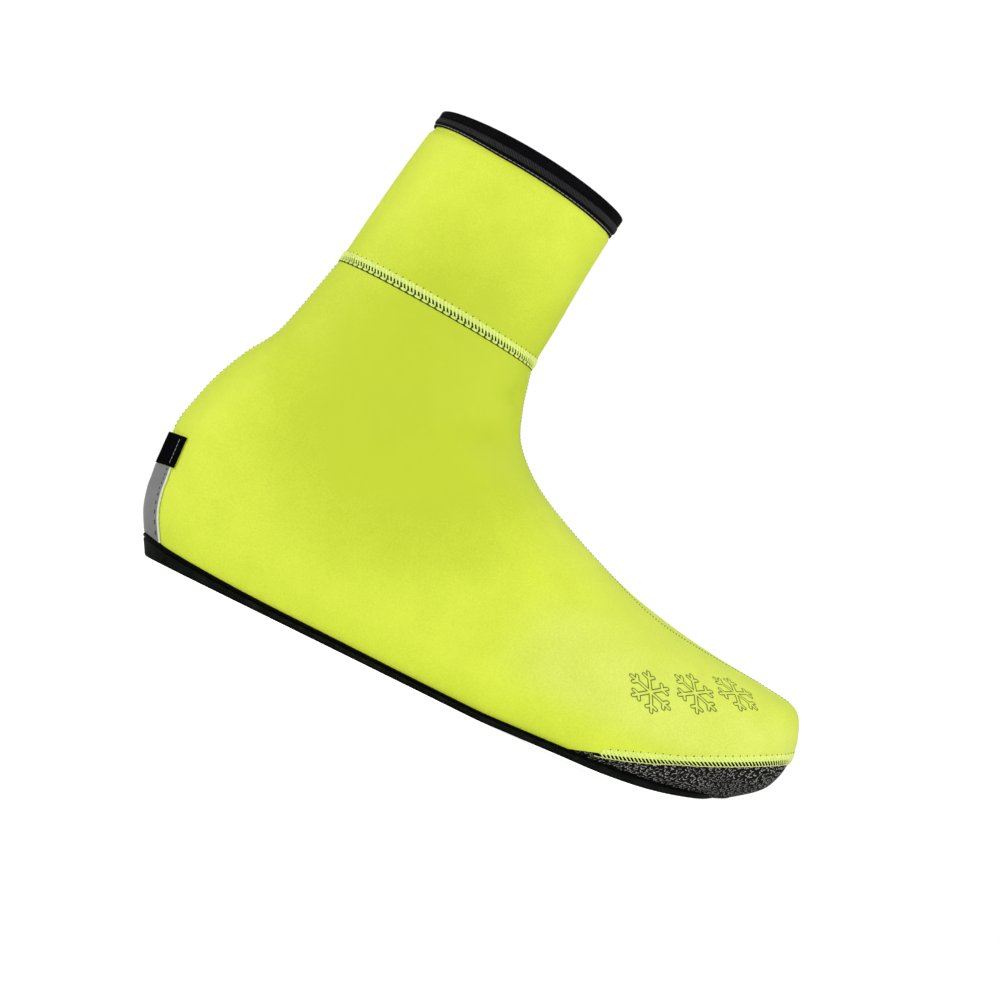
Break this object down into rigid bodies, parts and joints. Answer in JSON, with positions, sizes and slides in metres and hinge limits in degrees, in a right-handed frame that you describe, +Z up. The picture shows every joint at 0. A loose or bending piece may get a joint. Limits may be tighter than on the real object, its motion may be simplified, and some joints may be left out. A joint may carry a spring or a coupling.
{
  "type": "winter overshoe",
  "caption": "Neoprene cycling overshoe with a tall ankle cuff, flatlock seams, fabric toe guard, reflective heel strip and a thin rubberised sole with openings for cleat and heel",
  "frame": {"origin": "on the floor, at the middle of the shoe's length and width", "axes": "+X towards the toe, +Y towards the inner (medial) side, +Z up"},
  "size_m": [0.2902, 0.0996, 0.218],
  "materials": {
    "neoprene": "fluorescent yellow jersey face laminated on neoprene, fine knit, soft sheen",
    "thread": "light yellow bulked seam thread",
    "binding": "black folded elastic tape, satin, with a ribbed band of cover stitch",
    "abrasion_fabric": "coarse black woven abrasion fabric with light flecks",
    "reflective": "grey retroreflective tape, fine bead texture",
    "webbing": "black woven tape",
    "sole_fabric": "black rubberised fabric, low gloss"
  },
  "bodies": {
    "root": {"upper": "neoprene", "ankle_cuff": "neoprene", "cuff_seam": "thread", "toe_seam": "thread", "collar_binding": "binding", "toe_guard": "abrasion_fabric", "heel_reflector": "reflective", "heel_tape": "webbing", "outsole": "sole_fabric", "sole_tape": "binding"}
  },
  "joints": []
}
